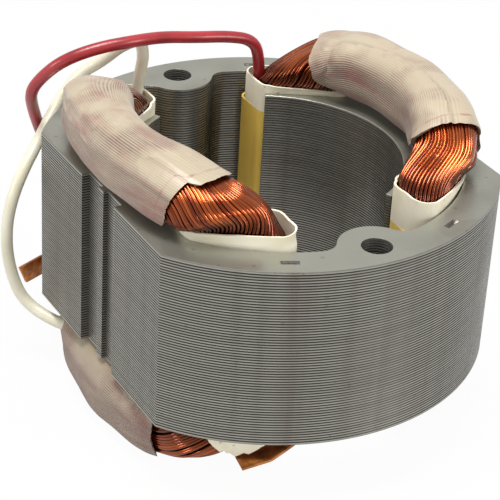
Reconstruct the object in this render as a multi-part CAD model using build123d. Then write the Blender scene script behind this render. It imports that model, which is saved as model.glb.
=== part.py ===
from build123d import *
from math import cos, radians, sin, sqrt, tan
import os

# Two-pole field stator of a small commutator motor: a welded stack of stamped sheets,
# two form-wound field coils in slot liners, cloth tape on the end turns, two leads and
# two contact strips.  Millimetres and degrees.  The origin is on the bore axis, at the
# lower face of the stack; X runs through the two poles, Y through the two screw holes.

# Stamped sheets
sheet_thickness = 0.5
sheet_count = 66
outside_diameter = 80.5
across_flats = 65.8
bore_diameter = 46.7
yoke_wall = 6.25              # round part, from the slot wall to the outside
flat_wall = 5.9               # from the slot's closed end to the flat
pole_tip_angle = 62.3         # from the pole's middle to its tip, about the bore axis
pole_tip_thickness = 1.05
shoe_slope = 30.0             # back of the pole shoe, against the pole's middle line
slot_corner_radius = 2.5
screw_edge = 5.25             # from the middle of a screw hole to the outside
screw_hole_diameter = 5.2
boss_wall = 3.9               # round a screw hole, on the bore side
boss_fillet = 3.0             # where a boss runs out into the slot wall
recess_width = 12.4           # weld recess in the middle of each flat
recess_depth = 1.4
rib_width = 1.9
rib_height = 0.8
interlock_length = 3.1
interlock_width = 0.9
interlock_depth = 0.25
interlock_edge = 3.25         # from the middle of an interlock to the outside
interlock_angle = 24.5        # either side of a screw hole, about the bore axis

# Slot liner: a film sleeve with a paper cuff butted on each end
liner_wall = 0.4
liner_gap = 0.1               # liner to slot wall, and coil to liner
liner_corner_radius = 2.4
liner_open_x = 10.8           # outside of its open-side wall
cuff_depth = 3.9              # how far a cuff reaches into the stack

# Field coils
crown_height = 6.64           # middle of an end turn, from the stack's end face
crown_width = 10.2            # section of the end turn along the bore axis
crown_thickness = 9.0         # and across it
crown_inset = 0.96            # crown towards the bore, from the middle of the slot depth
crown_length = 12.0           # straight middle of the end turn
bundle_corner_radius = 3.2
slot_corner_share = 0.47      # largest corner radius in a slot, against its closed end
slot_lean = 57.0              # direction of the bundle's thickness in the slot
outer_bulge = 0.4             # of the section's outer side

# Way of a bundle from its slot to the crown: share of the way along X and along Y, share
# of the rise, turn from upright, share of the lean kept, and the section's thickness and
# width against the crown's.
end_turn_way = [
    (0.117, 0.080, 0.386, 8.4, 0.97, 0.940, 1.390),
    (0.450, 0.166, 0.726, 37.8, 0.81, 1.250, 0.980),
    (0.780, 0.512, 0.971, 68.0, 0.47, 1.156, 0.994),
    (1.000, 1.000, 1.000, 90.0, 0.00, 1.000, 1.000),
]

# Paper cuffs: height of the rim over the end face, at the pole side and at the boss
cuff_rims = {
    ("upper", "front", "left"): (2.3, 2.7),
    ("upper", "front", "right"): (1.3, 3.2),
    ("upper", "rear", "left"): (2.2, 2.8),
    ("upper", "rear", "right"): (1.6, 1.6),
    ("lower", "front", "left"): (1.5, 3.4),
    ("lower", "front", "right"): (1.5, 4.2),
    ("lower", "rear", "left"): (1.4, 1.4),
    ("lower", "rear", "right"): (2.0, 3.4),
}

# Cloth tape on the end turns.  Where an edge lies, as a share of the way from the second
# station to the third, at the front and at the rear.
tape_wall = 0.6
tape_gap = 0.05
tape_edges = {
    ("upper", "left"): (0.45, 0.40),
    ("upper", "right"): (0.40, 0.20),
    ("lower", "left"): (0.60, 0.45),
    ("lower", "right"): (0.45, 0.40),
}

# Leads: sleeved flexible wire, from an upper coil end round the back to a lower one
lead_diameter = 2.2
white_lead_way = [
    (-12.6, 27.0, 33.5), (-12.1, 26.7, 39.2), (-11.7, 26.0, 43.0), (-12.2, 26.6, 46.0),
    (-14.6, 29.3, 44.0), (-16.9, 32.5, 40.0), (-19.8, 35.3, 37.0), (-23.0, 36.4, 32.5),
    (-26.8, 34.0, 29.3), (-30.7, 30.3, 27.0), (-34.3, 27.6, 24.3), (-37.2, 26.3, 19.6),
    (-38.5, 26.3, 13.8), (-38.4, 26.0, 7.0), (-36.9, 25.0, 0.4), (-34.9, 23.0, -2.4),
    (-32.6, 19.4, -3.6), (-30.2, 16.4, -4.0), (-27.8, 14.0, -4.6),
]
red_lead_way = [
    (12.9, 26.8, 33.5), (12.4, 26.3, 39.0), (10.3, 26.0, 42.3), (5.5, 26.3, 43.6),
    (-1.0, 26.8, 44.3), (-8.0, 25.8, 46.0), (-14.5, 24.2, 47.0), (-21.5, 25.4, 46.3),
    (-27.3, 27.0, 44.2), (-29.9, 30.5, 39.8), (-31.0, 32.3, 36.5), (-29.4, 35.1, 32.0),
    (-26.7, 37.8, 25.5), (-24.0, 38.5, 19.0), (-22.3, 38.3, 13.0), (-21.0, 38.0, 7.0),
    (-19.8, 37.6, 1.5), (-17.8, 36.0, -2.4), (-15.2, 32.0, -3.9), (-16.0, 27.0, -3.8),
]

# Contact strips: bent sheet-metal ribbons at the lower left slots
strip_width = 4.0
strip_thickness = 0.5
front_strip_x = -9.3
front_strip_inset = 3.8       # in from the slot's wall along the yoke
front_strip_turn = 10.0       # about the bore axis's direction, seen from above
front_strip_profile = [(-1.6, 8.0), (-0.4, -4.2), (-5.2, -7.3), (-10.4, -8.2)]
front_strip_radius = 2.5
rear_strip_way = [(-19.6, 25.2), (-23.6, 39.6), (-32.0, 35.9)]
rear_strip_radius = 3.0
rear_strip_top = -1.6         # upper edge, under the stack's lower face
rear_strip_slant = 1.8        # upper edge longer than the lower one

# Derived sizes
stack_height = sheet_count * sheet_thickness
yoke_radius = outside_diameter / 2 - yoke_wall
slot_end_x = across_flats / 2 - flat_wall
shoe_back_radius = bore_diameter / 2 + pole_tip_thickness
hole_y = outside_diameter / 2 - screw_edge
interlock_radius = outside_diameter / 2 - interlock_edge
boss_radius = screw_hole_diameter / 2 + boss_wall
middle_plane = Plane.XY.offset(stack_height / 2)


def shoe_back_y(x, inset=0.0):
    """The pole shoe's straight back at x, moved into the slot by inset."""
    tip_x = shoe_back_radius * cos(radians(pole_tip_angle))
    tip_y = shoe_back_radius * sin(radians(pole_tip_angle))
    slope = radians(shoe_slope)
    return tip_y - (x - tip_x) * tan(slope) + inset / cos(slope)


def corners_near(sketch, places, reach=0.05):
    """The sketch's corners that lie on the given places, in all four quadrants."""
    found = []
    for corner in sketch.vertices():
        for x, y in places:
            if abs(abs(corner.X) - x) < reach and abs(abs(corner.Y) - y) < reach:
                found.append(corner)
                break
    return found


def face_of(points):
    return make_face(Polyline(*points, close=True))


def largest(piece):
    return max(piece.solids(), key=lambda solid: solid.volume)


# ---------------------------------------------------------------- lamination stack
def opening_sketch():
    """Everything stamped out of the middle of a sheet: bore and four slots."""
    tip = (bore_diameter / 2 * cos(radians(pole_tip_angle)),
           bore_diameter / 2 * sin(radians(pole_tip_angle)))
    back = (shoe_back_radius * cos(radians(pole_tip_angle)),
            shoe_back_radius * sin(radians(pole_tip_angle)))
    neck = (slot_end_x, shoe_back_y(slot_end_x))
    shoulder = (slot_end_x, sqrt(yoke_radius ** 2 - slot_end_x ** 2))
    far = outside_diameter
    upper = [tip, back, neck, (slot_end_x, far), (far, far)]
    lower = [(x, -y) for x, y in reversed(upper)]
    pole = face_of(upper + lower) - Circle(bore_diameter / 2)
    opening = Circle(yoke_radius) - pole - mirror(pole, Plane.YZ)
    opening = fillet(corners_near(opening, [neck, shoulder]), slot_corner_radius)
    opening -= Locations((0, hole_y), (0, -hole_y)) * Circle(boss_radius)
    meet_y = (yoke_radius ** 2 + hole_y ** 2 - boss_radius ** 2) / (2 * hole_y)
    meet_x = sqrt(yoke_radius ** 2 - meet_y ** 2)
    return fillet(corners_near(opening, [(meet_x, meet_y)]), boss_fillet)


def interlock_places():
    angles = [side + turn for side in (90, 270) for turn in (-interlock_angle, interlock_angle)]
    return [Location((interlock_radius * cos(radians(a)), interlock_radius * sin(radians(a)), 0),
                     (0, 0, a)) for a in angles]


def lamination_stack():
    """The sheets, interlocked and welded into one block."""
    sheet = Circle(outside_diameter / 2) & Rectangle(across_flats, outside_diameter)
    sheet -= opening_sketch()
    sheet -= Locations((0, hole_y), (0, -hole_y)) * Circle(screw_hole_diameter / 2)
    for side in (1, -1):
        floor_x = across_flats / 2 - recess_depth / 2
        recess = Pos(side * floor_x, 0) * Rectangle(recess_depth, recess_width)
        rib_x = across_flats / 2 - recess_depth + rib_height / 2
        sheet -= recess - Pos(side * rib_x, 0) * Rectangle(rib_height, rib_width)
    stack = extrude(sheet, stack_height)
    for place in interlock_places():
        dent = place * Rectangle(interlock_width, interlock_length)
        stack -= Pos(0, 0, stack_height - interlock_depth) * extrude(dent, interlock_depth)
        stack += Pos(0, 0, -interlock_depth) * extrude(dent, interlock_depth)
    return stack


# ---------------------------------------------------------------- slot space
def slot_corners(inset):
    """Corners of the coil's space in the slot of quadrant one, moved in by inset."""
    end_x = slot_end_x - inset
    open_x = liner_open_x + inset - liner_gap
    wall = yoke_radius - inset
    return [(open_x, shoe_back_y(open_x, inset)), (end_x, shoe_back_y(end_x, inset)),
            (end_x, sqrt(wall ** 2 - end_x ** 2)), (open_x, sqrt(wall ** 2 - open_x ** 2))]


def slot_space(inset, corner_radius):
    """The same as a face: straight on three sides, along the yoke on the fourth."""
    inner, neck, shoulder, boss = slot_corners(inset)
    middle = (shoulder[0] + boss[0]) / 2
    wall = yoke_radius - inset
    sides = Polyline(boss, inner, neck, shoulder)
    yoke_side = ThreePointArc(shoulder, (middle, sqrt(wall ** 2 - middle ** 2)), boss)
    face = make_face(sides + yoke_side)
    largest_radius = slot_corner_share * (shoulder[1] - neck[1])
    return fillet(face.vertices(), min(corner_radius, largest_radius))


def liner_ring():
    outer = slot_space(liner_gap, liner_corner_radius)
    return outer - slot_space(liner_gap + liner_wall, liner_corner_radius - liner_wall)


def slot_film():
    return Pos(0, 0, cuff_depth) * extrude(liner_ring(), stack_height - 2 * cuff_depth)


def cuff(neck_rise, boss_rise):
    """Paper cuff of the upper end; its rim slopes from the slot's end to the boss."""
    tall = max(neck_rise, boss_rise) + cuff_depth
    sleeve = Pos(0, 0, stack_height - cuff_depth) * extrude(liner_ring(), tall)
    _, neck, _, boss = slot_corners(liner_gap)
    span = neck[0] - boss[0]
    low = stack_height + neck_rise
    high = stack_height + boss_rise
    above = Plane.XZ * face_of([(boss[0] - span, 2 * high - low), (neck[0] + span, 2 * low - high),
                                (neck[0] + span, high + span), (boss[0] - span, high + span)])
    return sleeve - extrude(above, outside_diameter / 2, both=True)


# ---------------------------------------------------------------- field coil
bundle_inset = liner_gap + liner_wall + liner_gap
slot_middle_x = sum(x for x, y in slot_corners(bundle_inset)) / 4
slot_middle_y = sum(y for x, y in slot_corners(bundle_inset)) / 4
crown_x = (shoe_back_radius + yoke_radius) / 2 - crown_inset


def slot_section(grow):
    """Section of the bundle in its slot, standing on the stack's end face."""
    return slot_space(bundle_inset - grow, bundle_corner_radius + grow)


def way_plane(station, side=1):
    """Where the bundle's section stands at a station, side +1 or -1 in Y."""
    along_x, along_y, rise, turn, lean_kept = station[:5]
    x = slot_middle_x + along_x * (crown_x - slot_middle_x)
    y = slot_middle_y + along_y * (crown_length / 2 - slot_middle_y)
    z = stack_height + rise * crown_height
    lean = radians(slot_lean * lean_kept)
    outward = Vector(cos(lean), side * sin(lean), 0)
    ahead = Vector(sin(lean), -side * cos(lean), 0)
    heading = Vector(0, 0, 1) * cos(radians(turn)) + ahead * sin(radians(turn))
    return Plane(origin=(x, side * y, z), x_dir=outward, z_dir=heading * side)


def way_section(station, side, grow):
    """The bundle's section at a station, larger by grow all round."""
    half_thick = crown_thickness / 2 * station[5] + grow
    half_wide = crown_width / 2 * station[6] + grow
    sides = Polyline((half_thick, half_wide), (-half_thick, half_wide),
                     (-half_thick, -half_wide), (half_thick, -half_wide))
    bulge = ThreePointArc((half_thick, -half_wide), (half_thick + outer_bulge, 0),
                          (half_thick, half_wide))
    face = make_face(sides + bulge)
    return way_plane(station, side) * fillet(face.vertices(), bundle_corner_radius + grow)


def end_turn(grow=0.0):
    """Upper end turn of the right-hand coil, from slot to slot."""
    rear = [Pos(0, 0, stack_height) * slot_section(grow)]
    rear += [way_section(station, 1, grow) for station in end_turn_way]
    front = [way_section(station, -1, grow) for station in reversed(end_turn_way)]
    front.append(mirror(rear[0], Plane.XZ))
    return largest(loft(rear + front))


def field_coil(turn):
    """The right-hand coil: two slot sides and two end turns in one bundle."""
    side = largest(extrude(slot_section(0), stack_height))
    front_side = largest(mirror(side, Plane.XZ))
    lower_turn = largest(mirror(turn, middle_plane))
    return turn + side + front_side + lower_turn


def coil_tape(clear_turn, wrapped_turn, front_share, rear_share):
    """Cloth tape round the upper end turn of the right-hand coil."""
    tape = wrapped_turn - clear_turn
    reach = outside_diameter
    for share, side in ((rear_share, 1), (front_share, -1)):
        second, third = end_turn_way[1], end_turn_way[2]
        station = [a + share * (b - a) for a, b in zip(second, third)]
        edge = way_plane(station, side)
        tape -= edge * Pos(0, 0, -side * reach / 2) * Box(reach, reach, reach)
    return largest(tape)


# ---------------------------------------------------------------- leads and strips
def corner_radii(way, share=0.45):
    """Radius for each inner point: a share of the shorter run is spent on the bend."""
    points = [Vector(*p) for p in way]
    radii = []
    for before, here, after in zip(points, points[1:], points[2:]):
        turn = radians((here - before).get_angle(after - here))
        run = min((here - before).length, (after - here).length)
        radii.append(share * run / tan(turn / 2))
    return radii


def lead(name, way):
    radii = corner_radii(way)
    route = FilletPolyline(*way, radius=radii)
    tube = sweep((Plane(origin=route @ 0, z_dir=route % 0) * Circle(lead_diameter / 2)), route)
    expected = Circle(lead_diameter / 2).area * route.length
    print(name, "length", round(route.length, 1), "volume share", round(tube.volume / expected, 4),
          "radii", [round(r, 1) for r in radii])
    return tube


def front_strip():
    """Ribbon out of the lower front left slot, bent level towards the pole."""
    line = FilletPolyline(*front_strip_profile, radius=front_strip_radius)
    half = strip_width / 2
    profile = Plane.XZ * trace(line, strip_thickness)
    ribbon = extrude(profile, half, both=True)
    place = Pos(front_strip_x, front_strip_inset - yoke_radius, 0)
    return place * Rot(0, 0, -front_strip_turn) * ribbon


def rear_strip():
    """Ribbon on edge from the lower rear left coil side, out past the stack and back."""
    line = FilletPolyline(*rear_strip_way, radius=rear_strip_radius)
    ribbon = Pos(0, 0, rear_strip_top - strip_width) * extrude(trace(line, strip_thickness),
                                                               strip_width)
    (before_x, before_y), (end_x, end_y) = rear_strip_way[-2:]
    along = Vector(end_x - before_x, end_y - before_y, 0).normalized()
    end = Plane(origin=(end_x, end_y, rear_strip_top - strip_width), x_dir=along,
                z_dir=along.cross(Vector(0, 0, 1)))
    corner = end * face_of([(0.01, strip_width + 0.01), (0.01, -0.01),
                            (-rear_strip_slant, -0.01)])
    return ribbon - extrude(corner, strip_width, both=True)


# ---------------------------------------------------------------- all pieces
def placed(piece, level="upper", end="rear", side="right"):
    """A piece of the upper rear right quadrant, mirrored to another one."""
    piece = largest(piece)
    for plane, wanted in ((middle_plane, level == "lower"), (Plane.XZ, end == "front"),
                          (Plane.YZ, side == "left")):
        if wanted:
            piece = largest(mirror(piece, plane))
    return piece


plain_turn = end_turn()
clear_turn = end_turn(tape_gap)
wrapped_turn = end_turn(tape_gap + tape_wall)
right_coil = field_coil(plain_turn)

parts = {"lamination_stack": lamination_stack()}
for side in ("left", "right"):
    parts[f"field_coil_{side}"] = placed(right_coil, side=side)
    for level in ("upper", "lower"):
        tape = coil_tape(clear_turn, wrapped_turn, *tape_edges[level, side])
        parts[f"coil_tape_{level}_{side}"] = placed(tape, level, side=side)
        for end in ("front", "rear"):
            blank = placed(cuff(*cuff_rims[level, end, side]), end=end) - clear_turn
            parts[f"cuff_{level}_{end}_{side}"] = placed(blank - tape, level, side=side)
    for end in ("front", "rear"):
        parts[f"slot_film_{end}_{side}"] = placed(slot_film(), end=end, side=side)

white = lead("white_lead", white_lead_way) - parts["field_coil_left"]
parts["white_lead"] = largest(white - parts["coil_tape_lower_left"])
red = lead("red_lead", red_lead_way) - parts["field_coil_left"]
parts["red_lead"] = largest(red - parts["field_coil_right"])
parts["contact_strip_front"] = largest(front_strip() - parts["slot_film_front_left"])
rear = rear_strip() - parts["field_coil_left"]
parts["contact_strip_rear"] = largest(rear)

os.makedirs("parts", exist_ok=True)
for name, part in parts.items():
    export_step(part, f"parts/{name}.step")
    print(name, round(part.volume, 1), part.is_valid, len(part.solids()), len(part.faces()))
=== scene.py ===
import bpy, bmesh, bisect, math, random
from mathutils import Matrix, Vector, noise
from mathutils.bvhtree import BVHTree


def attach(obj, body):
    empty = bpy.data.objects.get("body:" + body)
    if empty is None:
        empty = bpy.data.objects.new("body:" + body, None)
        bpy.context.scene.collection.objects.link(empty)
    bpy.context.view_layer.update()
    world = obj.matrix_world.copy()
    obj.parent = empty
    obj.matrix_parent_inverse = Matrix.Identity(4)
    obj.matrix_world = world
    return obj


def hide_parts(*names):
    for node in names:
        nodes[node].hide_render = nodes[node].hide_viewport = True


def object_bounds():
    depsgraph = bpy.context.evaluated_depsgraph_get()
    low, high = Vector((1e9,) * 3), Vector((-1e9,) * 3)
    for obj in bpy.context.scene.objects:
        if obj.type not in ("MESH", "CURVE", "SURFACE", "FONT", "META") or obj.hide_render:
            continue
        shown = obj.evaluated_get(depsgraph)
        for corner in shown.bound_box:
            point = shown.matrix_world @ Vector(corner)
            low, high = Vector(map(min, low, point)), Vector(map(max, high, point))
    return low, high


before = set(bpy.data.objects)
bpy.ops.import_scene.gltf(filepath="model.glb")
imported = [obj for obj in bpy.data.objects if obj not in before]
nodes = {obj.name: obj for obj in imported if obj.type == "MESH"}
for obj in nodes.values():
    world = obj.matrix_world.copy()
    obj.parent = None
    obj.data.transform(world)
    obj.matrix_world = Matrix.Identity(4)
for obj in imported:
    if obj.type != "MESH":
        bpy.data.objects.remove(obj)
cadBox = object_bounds()
mm = 0.001
stackLow, stackTop = 0.0, 33 * mm       # the two end faces of the sheets
tiny = 1e-6                             # closer than this counts as the same place
print("frame loaded:", len(nodes), "nodes")


def newPiece(name, bm, material, smooth=True, crisp=None):
    # faces that meet at more than crisp degrees keep a hard corner
    mesh = bpy.data.meshes.new(name)
    bm.to_mesh(mesh)
    bm.free()
    if smooth:
        mesh.shade_smooth()
    else:
        mesh.shade_flat()
    if crisp:
        mesh.set_sharp_from_angle(angle=math.radians(crisp))
    return addPiece(name, mesh, material)


def addPiece(name, data, material):
    piece = bpy.data.objects.new(name, data)
    bpy.context.scene.collection.objects.link(piece)
    data.materials.clear()
    data.materials.append(material)
    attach(piece, "root")
    return piece


def mirrorMatrix(level, side):
    # places what is modelled for the upper right end
    matrix = Matrix.Identity(4)
    if level == "lower":
        matrix = Matrix.Translation((0, 0, stackTop)) @ Matrix.Diagonal((1, 1, -1, 1))
    if side == "left":
        matrix = Matrix.Diagonal((-1, 1, 1, 1)) @ matrix
    return matrix


def wave(x, y, z):
    return noise.noise(Vector((x, y, z)))


def drawOut(bm, edges):
    # walls drawn out of edges: the edges and corners at their far side
    made = bmesh.ops.extrude_edge_only(bm, edges=edges)["geom"]
    return ([item for item in made if isinstance(item, kind)]
            for kind in (bmesh.types.BMEdge, bmesh.types.BMVert))


def toColor(shown):
    # display values 0-255 to the linear values that shaders use
    parts = [value / 255 for value in shown]
    return (*(part / 12.92 if part <= 0.04045 else ((part + 0.055) / 1.055) ** 2.4
              for part in parts), 1)


class Paint:
    # builds the nodes of one material; colours are written as display values 0-255

    def __init__(self, tree):
        self.tree = tree

    def node(self, kind, inputs=None, **settings):
        node = self.tree.nodes.new("ShaderNode" + kind)
        for key, value in settings.items():
            setattr(node, key, value)
        for key, value in (inputs or {}).items():
            if isinstance(value, bpy.types.NodeSocket):
                self.tree.links.new(value, node.inputs[key])
            else:
                node.inputs[key].default_value = value
        return node

    def surface(self, color, roughness, normal=None, more=None):
        sockets = {"Base Color": color, "Roughness": roughness, **(more or {})}
        if normal:
            sockets["Normal"] = normal
        shader = self.node("BsdfPrincipled", sockets)
        self.node("OutputMaterial", {0: shader.outputs[0]})

    def mix(self, factor, first, second):
        first, second = (toColor(c) if isinstance(c, tuple) else c for c in (first, second))
        return self.node("Mix", {0: factor, 6: first, 7: second}, data_type="RGBA").outputs[2]

    def layers(self, color, *coats):
        # colours laid one over another: which colour, where, and how much of it
        for other, mask, amount in coats:
            color = self.mix(self.times(mask, amount), color, other)
        return color

    def calc(self, operation, *values, clamp=False):
        return self.node("Math", dict(enumerate(values)), operation=operation,
                         use_clamp=clamp).outputs[0]

    def times(self, first, second):
        return self.calc("MULTIPLY", first, second)

    def plus(self, first, second):
        return self.calc("ADD", first, second)

    def away(self, value, middle):
        # how far a value is from another one, either way
        return self.calc("ABSOLUTE", self.calc("SUBTRACT", value, middle))

    def spread(self, value, low, high, newLow=0.0, newHigh=1.0):
        return self.node("MapRange", {"Value": value, "From Min": low, "From Max": high,
                                      "To Min": newLow, "To Max": newHigh}).outputs[0]

    def place(self):
        return self.node("TexCoord").outputs["Object"]

    def parts(self, vector):
        return self.node("SeparateXYZ", {0: vector}).outputs

    def upward(self):
        return self.parts(self.node("NewGeometry").outputs["Normal"])[2]

    def attribute(self, name):
        return self.node("Attribute", attribute_name=name).outputs["Fac"]

    def uneven(self, where, size, low=0.35, high=0.65, detail=3.0, stretch=(1, 1, 1)):
        return self.node("Group", {"Vector": where, "Stretch": stretch, "Size": size,
                                   "Detail": detail, "Low": low, "High": high},
                         node_tree=unevenTone).outputs

    def specks(self, where, size, amount):
        return self.node("Group", {"Vector": where, "Size": size, "Amount": amount},
                         node_tree=scatteredSpecks).outputs[0]

    def bump(self, height, strength, distance, **more):
        return self.node("Bump", {"Height": height, "Strength": strength,
                                  "Distance": distance, **more}).outputs[0]


def newMaterial(name):
    material = bpy.data.materials.new(name)
    material.use_nodes = True
    material.node_tree.nodes.clear()
    return material, Paint(material.node_tree)


def newGroup(name, numbers, results):
    # a node group that takes a vector, maybe a stretch, and numbers
    group = bpy.data.node_groups.new(name, "ShaderNodeTree")
    for labels, way, kind in ((("Vector", "Stretch"), "INPUT", "NodeSocketVector"),
                              (numbers, "INPUT", "NodeSocketFloat"),
                              (results, "OUTPUT", "NodeSocketFloat")):
        for label in labels:
            group.interface.new_socket(label, in_out=way, socket_type=kind)
    start, stop = (group.nodes.new("NodeGroup" + way) for way in ("Input", "Output"))
    return group, Paint(group), start.outputs, stop.inputs


def makePatchGroup():
    # uneven tone over a surface, stretched along the given axes
    group, paint, start, stop = newGroup("unevenTone", ("Size", "Detail", "Low", "High"),
                                         ("Mask", "Height"))
    scaled = paint.node("VectorMath", {0: start["Vector"], 1: start["Stretch"]},
                        operation="MULTIPLY").outputs[0]
    cloud = paint.node("TexNoise", {"Vector": scaled, "Scale": start["Size"],
                                    "Detail": start["Detail"]}).outputs[0]
    group.links.new(paint.spread(cloud, start["Low"], start["High"]), stop["Mask"])
    group.links.new(cloud, stop["Height"])
    return group


def makeSpeckGroup():
    # scattered specks, for dust on wire, chips on paper and grit on steel
    group, paint, start, stop = newGroup("scatteredSpecks", ("Size", "Amount"), ("Mask",))
    cells = paint.node("TexVoronoi", {"Vector": start["Vector"],
                                      "Scale": start["Size"]}).outputs
    lot = paint.node("SeparateColor", {0: cells["Color"]}).outputs[0]
    chosen = paint.calc("LESS_THAN", lot, start["Amount"])
    near = paint.calc("LESS_THAN", cells["Distance"], 0.28)
    group.links.new(paint.times(chosen, near), stop["Mask"])
    return group


unevenTone = makePatchGroup()
scatteredSpecks = makeSpeckGroup()


cameraSetup = {
    "place": (-155.04 * mm, -256.03 * mm, 187.0 * mm),
    "turn": -30.734, "rise": 30.089, "roll": 3.3016,
    "lens": 139.18, "sensor": 36, "clip": (0.01, 20),
}


def makeCamera(setup):
    turn, rise, roll = (math.radians(setup[key]) for key in ("turn", "rise", "roll"))
    data = bpy.data.cameras.new("studioCamera")
    data.lens, data.sensor_width = setup["lens"], setup["sensor"]
    data.clip_start, data.clip_end = setup["clip"]
    camera = bpy.data.objects.new("studioCamera", data)
    camera.matrix_world = (Matrix.Translation(setup["place"]) @ Matrix.Rotation(turn, 4, "Z")
                           @ Matrix.Rotation(math.pi / 2 - rise, 4, "X")
                           @ Matrix.Rotation(roll, 4, "Z"))
    bpy.context.scene.collection.objects.link(camera)
    bpy.context.scene.camera = camera


makeCamera(cameraSetup)
print("camera set")


leadSetup = {
    "thick": 2.2,
    "white": {
        "color": (226, 222, 204), "darker": (206, 200, 176), "roughness": 0.38,
        "length": 87.0,
        "route": [
            (-12.6, 27.0, 33.5), (-12.1, 26.7, 39.2), (-11.7, 26.0, 43.0),
            (-12.2, 26.6, 46.0), (-14.6, 29.3, 44.0), (-16.9, 32.5, 40.0),
            (-19.8, 35.3, 37.0), (-23.0, 36.4, 32.5), (-26.8, 34.0, 29.3),
            (-30.7, 30.3, 27.0), (-34.3, 27.6, 24.3), (-37.2, 26.3, 19.6),
            (-38.5, 26.3, 13.8), (-38.4, 26.0, 7.0), (-36.9, 25.0, 0.4),
            (-34.9, 23.0, -2.4), (-32.6, 19.4, -3.6), (-30.2, 16.4, -4.0),
            (-27.8, 14.0, -4.6)],
    },
    "red": {
        "color": (166, 40, 46), "darker": (132, 24, 32), "roughness": 0.34,
        "length": 108.0,
        "route": [
            (12.9, 26.8, 33.5), (12.4, 26.3, 39.0), (10.3, 26.0, 42.3), (5.5, 26.3, 43.6),
            (-1.0, 26.8, 44.3), (-8.0, 25.8, 46.0), (-14.5, 24.2, 47.0),
            (-21.5, 25.4, 46.3), (-27.3, 27.0, 44.2), (-29.9, 30.5, 39.8),
            (-31.0, 32.3, 36.5), (-29.4, 35.1, 32.0), (-26.7, 37.8, 25.5),
            (-24.0, 38.5, 19.0), (-22.3, 38.3, 13.0), (-21.0, 38.0, 7.0),
            (-19.8, 37.6, 1.5), (-17.8, 36.0, -2.4), (-15.2, 32.0, -3.9),
            (-16.0, 27.0, -3.8)],
    },
}


def makeSleeveMaterial(name, color, darker, roughness):
    material, paint = newMaterial(name)
    place = paint.place()
    fine = paint.uneven(place, 2600.0, detail=2.0)["Height"]
    tone = paint.uneven(place, 160.0, low=0.3, high=0.7)["Mask"]
    color = paint.layers(paint.mix(tone, color, darker),
                         (darker, paint.specks(place, 700.0, 0.02), 0.35))
    rough = paint.spread(fine, 0.3, 0.7, roughness - 0.06, roughness + 0.08)
    paint.surface(color, rough, paint.bump(fine, 0.12, 0.0001),
                  {"Coat Weight": 0.25, "Coat Roughness": 0.25})
    return material


def tubeCurve(name, thick, fine, roundness):
    curve = bpy.data.curves.new(name, "CURVE")
    curve.dimensions = "3D"
    curve.bevel_depth = thick / 2 * mm
    curve.bevel_resolution = roundness
    curve.resolution_u = fine
    return curve


def addRoute(curve, route):
    spline = curve.splines.new("NURBS")
    spline.points.add(len(route) - 1)
    for point, spot in zip(spline.points, route):
        point.co = (*spot, 1)
    spline.order_u = 3
    spline.use_endpoint_u = True


def makeLead(tone):
    setup = leadSetup[tone]
    name, route = tone + "Sleeve", [Vector(spot) * mm for spot in setup["route"]]
    curve = tubeCurve(name, leadSetup["thick"], fine=10, roundness=5)
    curve.use_fill_caps = True
    addRoute(curve, route)
    material = makeSleeveMaterial(tone + "Sleeving", setup["color"], setup["darker"],
                                  setup["roughness"])
    piece = addPiece(name, curve, material)
    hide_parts(tone + "_lead")
    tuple(route[0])


for tone in ("white", "red"):
    makeLead(tone)
print("leads laid")


sheetSetup = {
    "count": 66,
    "groove": 0.10 * mm,        # how far the wall draws in between two sheets
    "rollOver": 0.12 * mm,      # height over which it draws in
    "shortEdge": 0.62 * mm,     # curves have no steps shorter than this
    "straight": 0.4, "gentle": 14,      # bends in degrees that may be left out
    "dentSize": (1.1 * mm, 3.1 * mm, 1, 1), "dentDeep": 0.4 * mm,
    "dentRadius": 37.0 * mm, "dentTurn": 24.5,
    # the steps down into a dent: how much narrower, share of the depth, painted shade
    "dentSteps": ((0.9, 0.35, 0.6), (0.6, 1.0, 1.0)),
    "runX": -16.4 * mm,         # where a brown run stands on the front wall
}


def sheetOutline():
    # every loop of one sheet, read off the block's walls
    bm = bmesh.new()
    bm.from_mesh(nodes["lamination_stack"].data)
    bmesh.ops.remove_doubles(bm, verts=bm.verts, dist=tiny)
    bmesh.ops.bisect_plane(bm, geom=bm.verts[:] + bm.edges[:] + bm.faces[:], dist=tiny / 10,
                           plane_co=(0, 0, stackTop / 2), plane_no=(0, 0, 1),
                           clear_outer=True, clear_inner=False)
    cut = {v for v in bm.verts if abs(v.co.z - stackTop / 2) < tiny}
    bmesh.ops.delete(bm, geom=bm.faces[:], context="FACES_ONLY")
    bmesh.ops.delete(bm, geom=[v for v in bm.verts if v not in cut], context="VERTS")
    bmesh.ops.delete(bm, geom=[v for v in bm.verts if not v.link_edges], context="VERTS")

    def bend(v):
        first, second = (edge.other_vert(v).co for edge in v.link_edges)
        return math.degrees((v.co - first).angle(second - v.co))

    straight = [v for v in bm.verts
                if len(v.link_edges) == 2 and bend(v) < sheetSetup["straight"]]
    bmesh.ops.dissolve_verts(bm, verts=straight)
    for _ in range(3):
        kept, spare = set(), []
        for v in sorted(bm.verts, key=lambda v: (round(v.co.x, 6), round(v.co.y, 6))):
            short = all(edge.calc_length() < sheetSetup["shortEdge"] for edge in v.link_edges)
            if v not in kept and short and bend(v) < sheetSetup["gentle"]:
                spare.append(v)
                kept.update(edge.other_vert(v) for edge in v.link_edges)
        bmesh.ops.dissolve_verts(bm, verts=spare)
    for v in bm.verts:
        v.co.z = stackLow
    return bm


def dentFrames(level):
    for side in (90, 270):
        for turn in (-sheetSetup["dentTurn"], sheetSetup["dentTurn"]):
            yield (Matrix.Translation((0, 0, level))
                   @ Matrix.Rotation(math.radians(side + turn), 4, "Z")
                   @ Matrix.Translation((sheetSetup["dentRadius"], 0, 0))
                   @ Matrix.Diagonal(sheetSetup["dentSize"]))


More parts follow.
